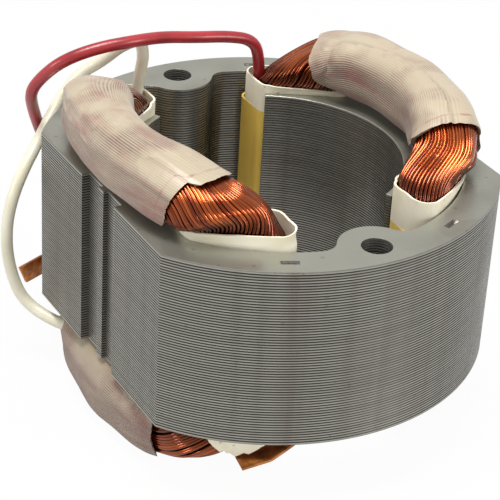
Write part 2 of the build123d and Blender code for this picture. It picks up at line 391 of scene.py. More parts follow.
def closeEnd(bm, edges, level):
    # fills an end face round its holes, with the interlock dents pressed into it
    dentShade = bm.verts.layers.float["dentShade"]
    dents = []
    for place in dentFrames(level):
        made = bmesh.ops.create_grid(bm, x_segments=2, y_segments=4, size=0.5, matrix=place)
        faces = list({face for v in made["verts"] for face in v.link_faces})
        edgesNow = {edge for face in faces for edge in face.edges}
        rim = [edge for edge in edgesNow if edge.is_boundary]
        inner = [edge for edge in edgesNow if not edge.is_boundary]
        bmesh.ops.delete(bm, geom=faces, context="FACES_ONLY")
        bmesh.ops.delete(bm, geom=inner, context="EDGES")
        dents.append(rim)
    bmesh.ops.triangle_fill(bm, use_beauty=True, use_dissolve=False,
                            edges=edges + [edge for rim in dents for edge in rim])
    for number, rim in enumerate(dents):
        for shrink, drop, shadeAmount in sheetSetup["dentSteps"]:
            rim, verts = drawOut(bm, rim)
            middle = sum((v.co for v in verts), Vector()) / len(verts)
            for v in verts:
                rough = noise.noise(v.co * 1500 + Vector((number, 0, 0)))
                v.co = middle + (v.co - middle) * (shrink + 0.12 * rough)
                v.co.z = level - sheetSetup["dentDeep"] * drop * (1 + 0.5 * rough)
                # painted shade, more of it on the deeper step
                v[dentShade] = shadeAmount
        bmesh.ops.contextual_create(bm, geom=rim)


def findOutward(bm, outward):
    # the way out of the metal at every corner, learnt from plain walls
    walls = bm.copy()
    _, tops = drawOut(walls, walls.edges[:])
    for v in tops:
        v.co.z = stackTop
    for level in (stackLow, stackTop):
        ends = [e for e in walls.edges if all(abs(v.co.z - level) < tiny for v in e.verts)]
        bmesh.ops.triangle_fill(walls, edges=ends)
    bmesh.ops.recalc_face_normals(walls, faces=walls.faces)
    walls.normal_update()
    walls.verts.ensure_lookup_table()
    bm.verts.ensure_lookup_table()
    for v in bm.verts:
        sides = [f.normal for f in walls.verts[v.index].link_faces if abs(f.normal.z) < 0.5]
        total = sum(sides, Vector())
        v[outward] = total.normalized() / max(0.6, total.length / max(1, len(sides)))
    walls.free()


def makeSheetStack(material):
    bm = sheetOutline()
    outward = bm.verts.layers.float_vector.new("outward")
    bm.verts.layers.float.new("dentShade")
    findOutward(bm, outward)
    last = sheetSetup["count"] - 1
    thick = stackTop / sheetSetup["count"]
    rollOver, groove = sheetSetup["rollOver"], sheetSetup["groove"]
    ring = bottom = bm.edges[:]
    for sheet in range(sheetSetup["count"]):
        steps = [(thick - 2 * rollOver, 0), (rollOver, -groove), (rollOver, groove)]
        if sheet == last:
            steps = [(thick - rollOver / 2, 0), (rollOver / 2, -groove * 0.6)]
        elif sheet == 0:
            steps[0] = (thick - rollOver, 0)
        for rise, shift in steps:
            ring, verts = drawOut(bm, ring)
            for v in verts:
                v.co = v.co + v[outward] * shift
                v.co.z += rise
    closeEnd(bm, ring, stackTop)
    closeEnd(bm, bottom, stackLow)
    bmesh.ops.recalc_face_normals(bm, faces=bm.faces)
    print("sheet outline points:", len(bottom), "faces:", len(bm.faces))
    return newPiece("sheetStack", bm, material, smooth=False)


def makeSheetMaterial():
    material, paint = newMaterial("stampedSheet")
    place = paint.place()
    x, y, z = paint.parts(place)
    sheets = paint.times(z, sheetSetup["count"] / stackTop)
    own = paint.node("TexWhiteNoise", {"W": paint.calc("FLOOR", sheets)},
                     noise_dimensions="1D").outputs["Value"]
    streak = paint.uneven(place, 380.0, low=0.45, high=0.8, stretch=(1, 1, 0.03))
    # a dark line at each joint between two sheets: the joint's own dark, and painted shade in
    # the groove there
    seam = paint.spread(paint.away(paint.calc("FRACT", sheets), 0.5), 0.14, 0.36)
    # a painted highlight along the wall's top and bottom edge, strongest at the sheared rim
    # round the bore
    flat = paint.node("CombineXYZ", {"X": x, "Y": y}).outputs[0]
    radius = paint.node("VectorMath", {0: flat}, operation="LENGTH").outputs["Value"]
    rim = paint.spread(paint.away(z, stackTop / 2), 0.0163, 0.0164)
    # a brown run goes down the front, under the pressed dent
    run = paint.times(paint.spread(paint.away(x, sheetSetup["runX"]), 0.0003, 0.0018, 0.4, 0.0),
                      paint.spread(y, -0.033, -0.035))
    wall = paint.layers(
        paint.mix(own, (148, 146, 138), (162, 160, 152)),
        ((104, 94, 82), streak["Mask"], 0.3),
        ((34, 32, 28), seam, 0.92),
        ((214, 212, 202), rim, paint.spread(radius, 0.028, 0.03, 0.75, 0.25)),
        ((84, 66, 58), run, paint.spread(streak["Height"], 0.35, 0.6, 0.4, 1.0)))
    cloud = paint.uneven(place, 110.0, low=0.3, high=0.75)
    grime = paint.uneven(place, 60.0, low=0.5, high=0.72, detail=5.0)["Mask"]
    face = paint.layers(paint.mix(cloud["Mask"], (170, 170, 159), (160, 160, 150)),
                        ((88, 86, 80), grime, 0.25))
    endFace = paint.calc("GREATER_THAN", paint.calc("ABSOLUTE", paint.upward()), 0.95)
    color = paint.layers(paint.mix(endFace, wall, face),
                         ((86, 80, 70), paint.specks(place, 800.0, 0.05), 0.3),
                         # painted shade deep in the interlock dents
                         ((58, 48, 40), paint.attribute("dentShade"), 0.75))
    grain = paint.uneven(place, 1800.0, detail=4.0)["Height"]
    paint.surface(color, paint.spread(cloud["Height"], 0.3, 0.7, 0.27, 0.4),
                  paint.bump(grain, 0.2, 0.0001), {"Metallic": 0.75})
    return material


sheetStack = makeSheetStack(makeSheetMaterial())
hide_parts("lamination_stack")
print("sheets stacked")


bundleSetup = {
    "poleTipAngle": 62.3, "shoeRadius": 24.4, "shoeSlope": 30.0,
    "yokeRadius": 34.0, "slotEnd": 27.0, "slotOpen": 10.7,
    "inset": 0.6,               # from the slot's walls to the wires
    "cornerRadius": 3.2, "lean": 57.0, "slotBulge": 1.1, "bulge": 0.4,
    "crownX": 28.24, "crownRise": 6.64, "crownHalf": 6.0,
    "crownThick": 9.0, "crownWide": 10.2,
    # heights of the stations inside the slot, from the middle of the stack
    "inSlot": (-16.5, -6.0, -2.5, 0.0),
    # along X, along Y, rise, turn, lean kept, thickness, width
    "way": [(0.117, 0.080, 0.386, 8.4, 0.97, 0.940, 1.390),
            (0.450, 0.166, 0.726, 37.8, 0.81, 1.250, 0.980),
            (0.780, 0.512, 0.971, 68.0, 0.47, 1.156, 0.994),
            (1.000, 1.000, 1.000, 90.0, 0.00, 1.000, 1.000)],
    # where a bundle is pushed out of its plain shape: centre, reach and shift in
    # millimetres, for a coil end seen as the upper right one, with the front at negative Y
    "pushes": {
        "upper left": [((19.5, -25.0, 6.5), 9.0, (-1.3, -1.1, 1.1)),
                       ((25.5, -24.5, 4.0), 7.0, (0.3, -0.6, 0.0))],
        "upper right": [((18.5, -19.0, 7.5), 8.0, (1.5, 0.2, 0.0)),
                        ((34.5, -17.5, 6.0), 9.0, (-0.9, 0.3, 0.0)),
                        ((28.3, -23.2, 6.0), 4.5, (-0.8, 0.7, 0.0)),
                        ((26.0, -22.0, 2.6), 3.0, (0.5, -0.4, 0.0)),
                        ((14.5, -24.0, 3.0), 5.5, (-0.8, -0.3, 0.0))],
        "lower left": [((22.0, -27.0, 5.0), 8.0, (-0.6, -0.5, 0.2))],
        "lower right": [((20.0, 25.0, 6.0), 8.0, (-0.6, 0.6, 0.4))],
    },
    "pushFade": 1.5,            # no push at the end face, the whole of it this high
}


def slotCorners(inset):
    # boss, inner, neck and shoulder corner of the slot space, in millimetres
    tip = math.radians(bundleSetup["poleTipAngle"])
    slope = math.radians(bundleSetup["shoeSlope"])
    tipX = bundleSetup["shoeRadius"] * math.cos(tip)
    tipY = bundleSetup["shoeRadius"] * math.sin(tip)
    wall = bundleSetup["yokeRadius"] - inset

    def column(x):
        # on the pole shoe's back and on the yoke
        return (Vector((x, tipY - (x - tipX) * math.tan(slope) + inset / math.cos(slope), 0)),
                Vector((x, math.sqrt(wall ** 2 - x ** 2), 0)))

    inner, boss = column(bundleSetup["slotOpen"] + inset)
    neck, shoulder = column(bundleSetup["slotEnd"] - inset)
    return [boss, inner, neck, shoulder]


slotMiddle = sum(slotCorners(bundleSetup["inset"]), Vector()) / 4


def roundedRing(corners, bulge, radius, arcSteps, sideSteps):
    # closed ring of points through four rounded corners, bulged on its last side
    ring = []
    for index, corner in enumerate(corners):
        following = corners[(index + 1) % 4]
        before = (corners[index - 1] - corner).normalized()
        after = (following - corner).normalized()
        half = before.angle(after) / 2
        bisector = (before + after).normalized()
        centre = corner + bisector * radius / math.sin(half)
        start = corner + before * radius / math.tan(half) - centre
        stop = corner + after * radius / math.tan(half) - centre
        sweep = start.angle(stop)
        for step in range(arcSteps + 1):
            share = step / arcSteps
            ring.append(centre + (start * math.sin((1 - share) * sweep)
                                  + stop * math.sin(share * sweep)) / math.sin(sweep))
        nextHalf = (corner - following).angle(corners[(index + 2) % 4] - following) / 2
        far = following + (corner - following).normalized() * radius / math.tan(nextHalf)
        ring += [(centre + stop).lerp(far, step / sideSteps) for step in range(1, sideSteps)]
    boss, inner, _, shoulder = corners
    chord = boss - shoulder
    inward = inner - boss
    inward = (inward - chord * inward.dot(chord) / chord.length_squared).normalized()
    depth = (inner - boss).length
    for point in ring:
        offset = point - shoulder
        share = min(1, max(0, offset.dot(chord) / chord.length_squared))
        nearness = max(0, 1 - offset.dot(inward) / (0.6 * depth))
        point -= inward * bulge * (1 - (2 * share - 1) ** 2) * nearness
    return ring


def stationRings(grow, arcSteps, sideSteps):
    # rings from the middle of the stack, over the end turn, and down to the middle again
    radius = bundleSetup["cornerRadius"] + grow
    inSlot = roundedRing(slotCorners(bundleSetup["inset"] - grow), bundleSetup["slotBulge"],
                         radius, arcSteps, sideSteps)
    ups = [Vector((0, 0, z)) for z in bundleSetup["inSlot"]]
    rings = [[p + up for p in inSlot] for up in ups]
    centres = [slotMiddle + up for up in ups]
    for alongX, alongY, rise, turn, leanKept, thick, wide in bundleSetup["way"]:
        lean, turn = math.radians(bundleSetup["lean"] * leanKept), math.radians(turn)
        centre = Vector((slotMiddle.x + alongX * (bundleSetup["crownX"] - slotMiddle.x),
                         slotMiddle.y + alongY * (bundleSetup["crownHalf"] - slotMiddle.y),
                         rise * bundleSetup["crownRise"]))
        outward = Vector((math.cos(lean), math.sin(lean), 0))
        ahead = Vector((math.sin(lean), -math.cos(lean), 0))
        heading = Vector((0, 0, math.cos(turn))) + ahead * math.sin(turn)
        upward = heading.cross(outward)
        a = bundleSetup["crownThick"] / 2 * thick + grow
        b = bundleSetup["crownWide"] / 2 * wide + grow
        corners = [centre + outward * s * a + upward * t * b
                   for s, t in ((1, 1), (-1, 1), (-1, -1), (1, -1))]
        rings.append(roundedRing(corners, bundleSetup["bulge"], radius, arcSteps, sideSteps))
        centres.append(centre)
    flip = Vector((1, -1, 1))
    rings += [[p * flip for p in ring] for ring in reversed(rings)]
    centres += [c * flip for c in reversed(centres)]
    return rings, centres


class EndTurn:
    # answers where the ring stands at any distance along the bundle, in millimetres

    def __init__(self, key, grow, arcSteps=7, sideSteps=9):
        self.rings, centres = stationRings(grow, arcSteps, sideSteps)
        self.knots = [0.0]
        for first, second in zip(centres, centres[1:]):
            self.knots.append(self.knots[-1] + (second - first).length)
        self.start = self.knots[3]      # leaves the upper end face at the rear
        self.total = self.knots[-1]
        self.count = len(self.rings[0])
        self.pushes = bundleSetup["pushes"][key]

    def slope(self, k, index):
        knots, rings = self.knots, self.rings
        if k == 0 or k == len(knots) - 1:
            return Vector((0, 0, 1 if k == 0 else -1))
        before, after, here = knots[k] - knots[k - 1], knots[k + 1] - knots[k], rings[k][index]
        return ((rings[k + 1][index] - here) / after * before
                + (here - rings[k - 1][index]) / before * after) / (before + after)

    def point(self, distance, index):
        distance = min(max(distance, 0), self.total - tiny)
        k = min(bisect.bisect_right(self.knots, distance) - 1, len(self.knots) - 2)
        span = self.knots[k + 1] - self.knots[k]
        u = (distance - self.knots[k]) / span
        low, high = self.rings[k][index], self.rings[k + 1][index]
        slopeLow, slopeHigh = self.slope(k, index) * span, self.slope(k + 1, index) * span
        spot = ((2 * u ** 3 - 3 * u ** 2 + 1) * low + (u ** 3 - 2 * u ** 2 + u) * slopeLow
                + (3 * u ** 2 - 2 * u ** 3) * high + (u ** 3 - u ** 2) * slopeHigh)
        moved = spot.copy()
        for centre, reach, shift in self.pushes:
            away = (spot - Vector(centre)).length / reach
            if away < 1 and spot.z > 0:
                fade = min(1, spot.z / bundleSetup["pushFade"])
                moved += Vector(shift) * (1 - away ** 2) ** 2 * fade
        return moved

    def ring(self, distance):
        return [self.point(distance, index) for index in range(self.count)]

    def evenRing(self, distance, places):
        # points at given shares of the way round, and the way out of the bundle there
        ring = self.ring(distance)
        lengths = [0.0]
        for index, spot in enumerate(ring):
            lengths.append(lengths[-1] + (ring[(index + 1) % self.count] - spot).length)
        centre = sum(ring, Vector()) / self.count
        for place in places:
            target = (place % 1.0) * lengths[-1]
            index = min(bisect.bisect_right(lengths, target) - 1, self.count - 1)
            share = (target - lengths[index]) / (lengths[index + 1] - lengths[index])
            spot = ring[index].lerp(ring[(index + 1) % self.count], share)
            yield spot, (spot - centre).normalized()


def toRow(point):
    # millimetres over the upper end face to metres in the row frame
    return Vector((point.x * mm, point.y * mm, point.z * mm + stackTop))


def drawTube(rings, closed=True):
    # a circle drawn out ring by ring; spoke is a corner's number in its ring
    bm = bmesh.new()
    spoke = bm.verts.layers.int.new("spoke")
    made = bmesh.ops.create_circle(bm, segments=len(rings[0]), radius=1)["verts"]
    for index, v in enumerate(made):
        v[spoke] = index
        v.co = rings[0][index]
    first = edges = list({edge for v in made for edge in v.link_edges})
    for ring in rings[1:]:
        edges, verts = drawOut(bm, edges)
        for v in verts:
            v.co = ring[v[spoke]]
    if closed:
        bmesh.ops.bridge_loops(bm, edges=first + edges)
    bmesh.ops.recalc_face_normals(bm, faces=bm.faces)
    return bm


wireSetup = {
    "thick": 0.66,
    "round": 60,                # wires side by side round the bundle
    "below": 3.0,               # how far under the end face a wire starts
    "under": 16.5,              # how far along the bundle it runs, under the tape
    "samples": 15,
    "seed": 7,
    "riding": 0.1, "rideHigh": (0.1, 0.22),     # share of wires that ride over others
    "cross": 0.003, "rideCross": 0.016,         # how far a wire drifts round the bundle
    "wander": (0.004, 2.4), "wobble": (0.05, 3.0),  # round it and outwards: size, how often
    # how far the wires of an end turn round the bundle on their way up, as a share of it,
    # and over which part of that way
    "turning": (0.1, 0.8),
    "twist": {"upper front right": 0.12, "upper front left": 0.32, "upper rear right": 0.03,
              "upper rear left": 0.1, "lower front left": 0.15, "lower front right": 0.15,
              "lower rear left": 0.1, "lower rear right": 0.1},
}


def makeWireMaterial():
    material, paint = newMaterial("enamelledWire")
    place = paint.place()
    patch = paint.uneven(place, 180.0, high=0.7)
    # painted shade: darker just past the end faces where the wires leave the slots, standing in
    # for the dark stack reflected there, and darker on the ends under the stack
    height = paint.parts(place)[2]
    beyond = paint.calc("SUBTRACT", paint.away(height, stackTop / 2), stackTop / 2)
    beyond = paint.plus(beyond, paint.times(patch["Height"], 0.003))
    color = paint.layers(
        paint.mix(paint.attribute("wireTone"), (126, 44, 14), (214, 110, 48)),
        ((74, 22, 8), patch["Mask"], 0.5),
        ((222, 196, 180), paint.specks(place, 520.0, 0.02), 0.4),
        ((78, 26, 8), paint.spread(beyond, 0.0045, 0.008, 1, 0), 0.8),
        ((84, 34, 14), paint.spread(height, 0.002, -0.002), 0.4))
    paint.surface(color, paint.spread(patch["Height"], 0.3, 0.7, 0.16, 0.26), None,
                  {"Metallic": 1.0, "Coat Weight": 0.5, "Coat Roughness": 0.08})
    return material


def makeCoreMaterial():
    material, paint = newMaterial("coreInPaintedShade")
    # the dark colour is painted shade for the gaps between the outer wires
    tone = paint.uneven(paint.place(), 900.0)["Mask"]
    paint.surface(paint.mix(tone, (70, 24, 14), (40, 14, 10)), 0.5, None, {"Metallic": 0.8})
    return material


def wireRoutes(chance, turn, end, twist):
    # where every wire of one end runs, in millimetres
    rounds, samples = wireSetup["round"], wireSetup["samples"]
    wobbles = [chance.uniform(0, 100) for _ in range(rounds)]
    rides = [chance.uniform(*wireSetup["rideHigh"])
             if chance.random() < wireSetup["riding"] else 0.0 for _ in range(rounds)]
    crosses = [chance.uniform(-most, most) for most in (
        wireSetup["rideCross"] if ride else wireSetup["cross"] for ride in rides)]
    early, late = wireSetup["turning"]
    (wanderSize, wanderOften), (wobbleSize, wobbleOften) = (
        wireSetup["wander"], wireSetup["wobble"])
    routes = [[] for _ in range(rounds)]
    for step in range(samples):
        share = step / (samples - 1)
        distance = (turn.start - wireSetup["below"]
                    + share * (wireSetup["below"] + wireSetup["under"]))
        if end == "front":
            distance = turn.total - distance
        turned = min(1, max(0, (share - early) / (late - early)))
        turned = turned * turned * (3 - 2 * turned) * twist
        places = [wire / rounds + turned + crosses[wire] * share
                  + wanderSize * wave(wobbles[wire], share * wanderOften, 3.0)
                  for wire in range(rounds)]
        for wire, (spot, out) in enumerate(turn.evenRing(distance, places)):
            lift = wobbleSize * wave(wobbles[wire], share * wobbleOften, 9.0)
            routes[wire].append(spot + out * (rides[wire] * math.sin(math.pi * share) + lift))
    return routes


def makeWires(side, material):
    # every visible wire of a coil's four ends, as tubes that follow the bundle
    chance = random.Random(wireSetup["seed"] + (side == "left"))
    curve = tubeCurve("wires", wireSetup["thick"], fine=3, roundness=2)
    tones = []
    for level in ("upper", "lower"):
        turn = EndTurn(f"{level} {side}", -wireSetup["thick"] / 2 - 0.02)
        place = mirrorMatrix(level, side)
        for end in ("rear", "front"):
            twist = wireSetup["twist"][f"{level} {end} {side}"]
            for route in wireRoutes(chance, turn, end, twist):
                addRoute(curve, [place @ toRow(spot) for spot in route])
                tones.append(chance.random())
    shape = bpy.data.objects.new("wires", curve)
    bpy.context.scene.collection.objects.link(shape)
    bpy.context.view_layer.update()
    mesh = bpy.data.meshes.new_from_object(
        shape.evaluated_get(bpy.context.evaluated_depsgraph_get()))
    bpy.data.objects.remove(shape)
    perWire = len(mesh.vertices) // len(tones)
    mesh.attributes.new("wireTone", "FLOAT", "POINT").data.foreach_set(
        "value", [tone for tone in tones for _ in range(perWire)])
    mesh.shade_smooth()
    return addPiece("woundWires" + side.capitalize(), mesh, material)


def makeBundleCore(side, material, steps=46):
    # the mass of wire under the outermost layer, all the way round the coil, coloured dark as
    # painted shade in the gaps between the outer wires
    rings = []
    for level in ("upper", "lower"):
        core = EndTurn(f"{level} {side}", -bundleSetup["inset"], arcSteps=4, sideSteps=5)
        place = mirrorMatrix(level, side)
        turned = [[place @ toRow(p) for p in core.ring(core.total * step / steps)]
                  for step in range(steps + 1)]
        rings += turned if level == "upper" else list(reversed(turned))[1:-1]
    return newPiece("bundleCore" + side.capitalize(), drawTube(rings), material)


wireMaterial, coreMaterial = makeWireMaterial(), makeCoreMaterial()
for side in ("left", "right"):
    wires = makeWires(side, wireMaterial)
    core = makeBundleCore(side, coreMaterial)
    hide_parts("field_coil_" + side)
    print("coil wound:", side, len(wires.data.polygons), "wire faces")


tapeSetup = {
    "outer": 0.65, "inner": 0.08,       # from the plain bundle to the cloth's two sides
    "layer": 0.34, "sunk": 0.14,        # one more layer, and how far all of it is drawn in
    "ragged": 0.15, "soft": 0.2, "tight": 0.03,     # unevenness of the ends and the outside
    "rows": 84, "innerRows": 10, "hemIn": 0.25,
    "rib": 0.42,                # one woven rib, across
    "along": 1.15,              # cloth to a millimetre of the row, along the bundle
    "edges": {"upper left": (0.45, 0.40), "upper right": (0.40, 0.20),
              "lower left": (0.60, 0.45), "lower right": (0.45, 0.40)},
    # where the cloth's free edge runs, as a share of the way round, at the rear and front
    "seam": {"upper left": (0.02, 0.083), "upper right": (0.30, 0.16),
             "lower left": (0.55, 0.60), "lower right": (0.4, 0.5)},
    # how far an end reaches beyond its edge: share of the way round the bundle from the
    # boss corner over the inner, neck and shoulder corners, and millimetres there
    "reach": {
        "upper left front": [
            (0.0, -1.2), (0.04, -1.3), (0.074, -1.1), (0.083, 0.0), (0.13, 0.5), (0.2, 1.0),
            (0.3, 2.1), (0.34, 1.9), (0.42, 1.0), (0.5, 0.2), (0.75, 0.0), (0.83, -0.2),
            (0.87, -0.8), (0.94, -1.1)],
        "upper left rear": [
            (0.0, 0.0), (0.25, 0.8), (0.27, -0.3), (0.285, -1.6), (0.31, -2.6), (0.35, -2.6),
            (0.375, -1.6), (0.39, 0.0), (0.42, 0.6), (0.5, 0.3), (0.7, 0.0)],
        "upper right front": [
            (0.0, -1.2), (0.05, -1.2), (0.1, -0.9), (0.17, -0.5), (0.22, 0.0), (0.25, 0.5),
            (0.28, 1.4), (0.31, 2.2), (0.4, 2.4), (0.55, 1.2), (0.7, 0.0), (0.85, -0.8)],
        "upper right rear": [
            (0.0, 0.3), (0.15, -0.1), (0.27, -0.3), (0.3, 0.3), (0.34, 1.2), (0.38, 2.0),
            (0.44, 3.1), (0.5, 3.2), (0.6, 1.8), (0.75, 0.6)],
        "lower left front": [
            (0.0, -1.6), (0.03, -1.8), (0.06, -2.6), (0.1, -4.2), (0.2, -4.2), (0.3, -3.0),
            (0.45, -1.0), (0.6, 0.0), (0.83, 0.0), (0.87, -0.8), (0.94, -1.4)],
    },
    # dents and puffs in the cloth: the end it is measured from, millimetres in from it,
    # share of the way round, half length in millimetres, half width as a share, depth
    "dents": {
        "upper right": [
            ("rear", 3.6, 0.30, 0.7, 0.16, 0.5), ("rear", 2.0, 0.36, 1.1, 0.07, -0.35),
            ("rear", 6.5, 0.34, 1.6, 0.06, -0.25), ("front", 3.4, 0.31, 1.8, 0.05, 0.4),
            ("front", 9.0, 0.24, 2.5, 0.05, 0.25)],
        "upper left": [
            ("front", 10.0, 0.09, 4.0, 0.018, -0.28), ("front", 7.0, 0.13, 2.0, 0.02, 0.3),
            ("rear", 6.0, 0.20, 2.5, 0.07, 0.35), ("front", 16.0, 0.05, 3.0, 0.02, -0.2)],
    },
}


def makeTapeMaterial():
    material, paint = newMaterial("cottonTape")
    cloth = paint.node("UVMap", uv_map="cloth").outputs[0]
    place = paint.place()
    facing = paint.spread(paint.upward(), 0.0, 0.75)
    ribs, picks = (paint.calc("SINE", paint.times(value, 2 * math.pi / tapeSetup["rib"]))
                   for value in paint.parts(cloth)[:2])
    weave = paint.plus(paint.times(ribs, 0.84), paint.times(picks, 0.16))
    streak = paint.uneven(cloth, 0.4, low=0.42, high=0.68, detail=1.0, stretch=(1, 0.2, 1))
    broad = paint.uneven(cloth, 0.16, low=0.38, high=0.6, stretch=(1, 0.3, 1))["Mask"]
    pink = paint.calc("MULTIPLY", streak["Mask"], paint.plus(broad, 0.3), clamp=True)
    varnish = paint.uneven(place, 120.0, low=0.34, high=0.54, detail=4.0)["Mask"]
    soaked = paint.times(varnish, paint.spread(facing, 0, 1, 0.1, 0.8))
    # a woven line runs just inside the front end
    hem = paint.calc("LESS_THAN", paint.away(paint.attribute("toEnd"), 1.5), 0.16)
    color = paint.layers(
        paint.mix(paint.spread(weave, -1, 1), (114, 98, 86), (182, 164, 144)),
        # pink streaks, laid on more strongly on the sides than on the top, in part as painted
        # shade
        ((142, 98, 90), pink, paint.spread(facing, 0, 1, 1.0, 0.6)),
        ((182, 169, 144), soaked, 1),
        ((150, 104, 92), hem, paint.spread(streak["Height"], 0.4, 0.6, 0.15, 0.75)),
        # painted shade at the foot of the step where the cloth's free edge lies over the layer
        # beneath
        ((104, 84, 74), paint.attribute("freeEdgeShade"), 0.3),
        # painted shade: darker on the sides than on the top, and darker still on the lower ends
        # under the stack
        ((112, 94, 84), paint.spread(facing, 0, 0.5, 1, 0), 0.3),
        ((94, 76, 68), paint.spread(paint.parts(place)[2], 0.002, -0.002), 0.35))
    dry = paint.spread(soaked, 0.0, 0.7, 1.0, 0.25)
    woven = paint.bump(paint.times(weave, dry), 0.8, 0.00005)
    folds = paint.uneven(place, 260.0, detail=2.0)["Height"]
    paint.surface(color, paint.spread(soaked, 0, 0.8, 0.75, 0.42),
                  paint.bump(folds, 0.35, 0.0006, Normal=woven),
                  {"Sheen Weight": 0.15, "Coat Weight": paint.times(soaked, 0.5),
                   "Coat Roughness": 0.3})
    return material


def reachAt(steps, share):
    # straight runs between the given places, closed round the bundle
    steps = steps + [(1.0, steps[0][1])]
    for (low, first), (high, second) in zip(steps, steps[1:]):
        if low <= share <= high:
            return first + (second - first) * (share - low) / (high - low)


def makeTape(level, side, material):
    key = f"{level} {side}"
    outer, inner = (EndTurn(key, tapeSetup[name], arcSteps=10, sideSteps=14)
                    for name in ("outer", "inner"))
    count, rows = outer.count, tapeSetup["rows"]
    frontShare, rearShare = tapeSetup["edges"][key]
    near, far = outer.knots[5:7]
    seamRear, seamFront = tapeSetup["seam"][key]
    place = mirrorMatrix(level, side)
    shift = 11.0 * (level == "lower") + 5.0 * (side == "left")

    def endLine(plain, end, way, layer):
        steps = tapeSetup["reach"].get(f"{key} {end}", [(0.0, 0.0)])
        return [plain + tapeSetup["ragged"] * wave(index * 0.4, shift, layer)
                + way * reachAt(steps, index / count) for index in range(count)]

    lows = endLine(near + rearShare * (far - near), "rear", -1, 0)
    highs = endLine(outer.total - (near + frontShare * (far - near)), "front", 1, 70)

    def pastEdge(share, index):
        # how far round from the free edge, as a share
        seam = seamRear + (seamFront - seamRear + 0.5) % 1.0 * share - 0.5 * share
        return (index / count - seam) % 1.0

    def wrapped(share, index):
        # spiral of one layer: highest just after the free edge, then fading round
        distance = lows[index] + (highs[index] - lows[index]) * share
        layer = tapeSetup["layer"] * (1 - pastEdge(share, index))
        low, high = inner.point(distance, index), outer.point(distance, index)
        soft = wave(index * 0.09, distance * 0.16, shift + 40)
        tight = wave(index * 0.2, distance * 0.5, shift + 80)
        press = 0.0
        for end, inside, around, long, wide, deep in tapeSetup["dents"].get(key, []):
            fromEnd = distance - lows[index] if end == "rear" else highs[index] - distance
            across = (index / count - around + 0.5) % 1.0 - 0.5
            press += deep * math.exp(-((fromEnd - inside) / long) ** 2 - (across / wide) ** 2)
        return high + (high - low).normalized() * (
            layer - tapeSetup["sunk"] + tapeSetup["soft"] * soft
            + tapeSetup["tight"] * tight - press)

    def lining(share, index):
        # back along the wires, from just inside one end to just inside the other
        hem = tapeSetup["hemIn"]
        return inner.point(highs[index] - hem - (highs[index] - lows[index] - 2 * hem) * share,
                           index)

    rings = [[place @ toRow(surface(step / steps, index)) for index in range(count)]
             for surface, steps in ((wrapped, rows), (lining, tapeSetup["innerRows"]))
             for step in range(steps + 1)]
    bm = drawTube(rings)
    spoke = bm.verts.layers.int["spoke"]
    toEnd = bm.verts.layers.float.new("toEnd")
    freeEdgeShade = bm.verts.layers.float.new("freeEdgeShade")
    bm.verts.index_update()
    for v in bm.verts:
        share = v.index // count / rows
        v[toEnd] = (highs[v[spoke]] - lows[v[spoke]]) * max(0, 1 - share)
        v[freeEdgeShade] = max(0, pastEdge(min(1, share), v[spoke]) * count - count + 3) / 3
    # millimetres round the bundle, a whole number of ribs in all
    middle = outer.ring(outer.total / 2)
    around = [0.0]
    for index in range(count):
        around.append(around[-1] + (middle[(index + 1) % count] - middle[index]).length)
    whole = round(around[-1] / tapeSetup["rib"]) * tapeSetup["rib"]
    around = [length / around[-1] * whole for length in around]
    uv = bm.loops.layers.uv.new("cloth")
    back = place.inverted()
    for face in bm.faces:
        spokes = [loop.vert[spoke] for loop in face.loops]
        wrap = max(spokes) - min(spokes) > count / 2
        for loop, index in zip(face.loops, spokes):
            width = around[index] + whole * (wrap and index < count / 2)
            loop[uv].uv = (width, -(back @ loop.vert.co).y / mm * tapeSetup["along"])
    name = "clothTape" + level.capitalize() + side.capitalize()
    piece = newPiece(name, bm, material, crisp=50)
    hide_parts(f"coil_tape_{level}_{side}")


tapeMaterial = makeTapeMaterial()
for level in ("upper", "lower"):
    for side in ("left", "right"):
        makeTape(level, side, tapeMaterial)
print("tapes wrapped")


cuffSetup = {
    "wall": 0.4, "inset": 0.1, "cornerRadius": 2.4,
    # millimetres inside the slot, then shares of the way up to the rim
    "levels": [-3.9, -1.5, 0.0, 0.2, 0.4, 0.6, 0.8, 0.93, 1.0],
    # rim over the end face at the pole side and at the boss
    "rims": {"upper front left": (2.3, 2.7), "upper front right": (1.0, 2.9),
             "upper rear left": (2.2, 2.8), "upper rear right": (1.6, 1.6),
             "lower front left": (1.5, 3.4), "lower front right": (1.5, 4.2),
             "lower rear left": (1.4, 1.4), "lower rear right": (2.0, 3.4)},
    # a stretch of rim that stands up further: middle and half width as shares of the way
    # round, height, and how frayed it is
    "raised": {"lower front left": (0.93, 0.08, 5.0, 0.7)},
    # the boss corner drawn in over the end face, and how far from the corner it tells
    "drawnIn": {"upper front left": 1.0, "upper rear left": 0.8},
    "drawnReach": 5,
    # where the paper laps over itself, as a share of the way round, and how thick it looks
    "lap": 0.62, "laps": {"upper front left": 0.855},
    "lapStep": 0.22, "lapFade": 0.14,
    "outside": 0.45, "within": 0.08,    # how far its two sides stay clear of the wires
    "clearOnly": 3,                     # no wires are looked for beyond this
    "swell": 0.15, "ragged": 0.07,
}


def makePaperMaterial():
    material, paint = newMaterial("cuffPaper")
    place = paint.place()
    tone = paint.uneven(place, 220.0, high=0.7)["Mask"]
    color = paint.layers(paint.mix(tone, (242, 236, 216), (234, 226, 198)),
                         ((150, 120, 84), paint.specks(place, 900.0, 0.03), 0.4))
    fibre = paint.uneven(place, 2400.0, detail=5.0, stretch=(1, 1, 0.4))["Height"]
    paint.surface(color, 0.7, paint.bump(fibre, 0.25, 0.00006))
    return material


def bundleTree(key, steps=60):
    # a wire bundle as something to measure against, in millimetres over the end face
    shape = EndTurn(key, 0.1, arcSteps=5, sideSteps=6)
    bm = drawTube([shape.ring(shape.total * step / steps) for step in range(steps + 1)],
                  closed=False)
    tree = BVHTree.FromBMesh(bm)
    bm.free()
    return tree


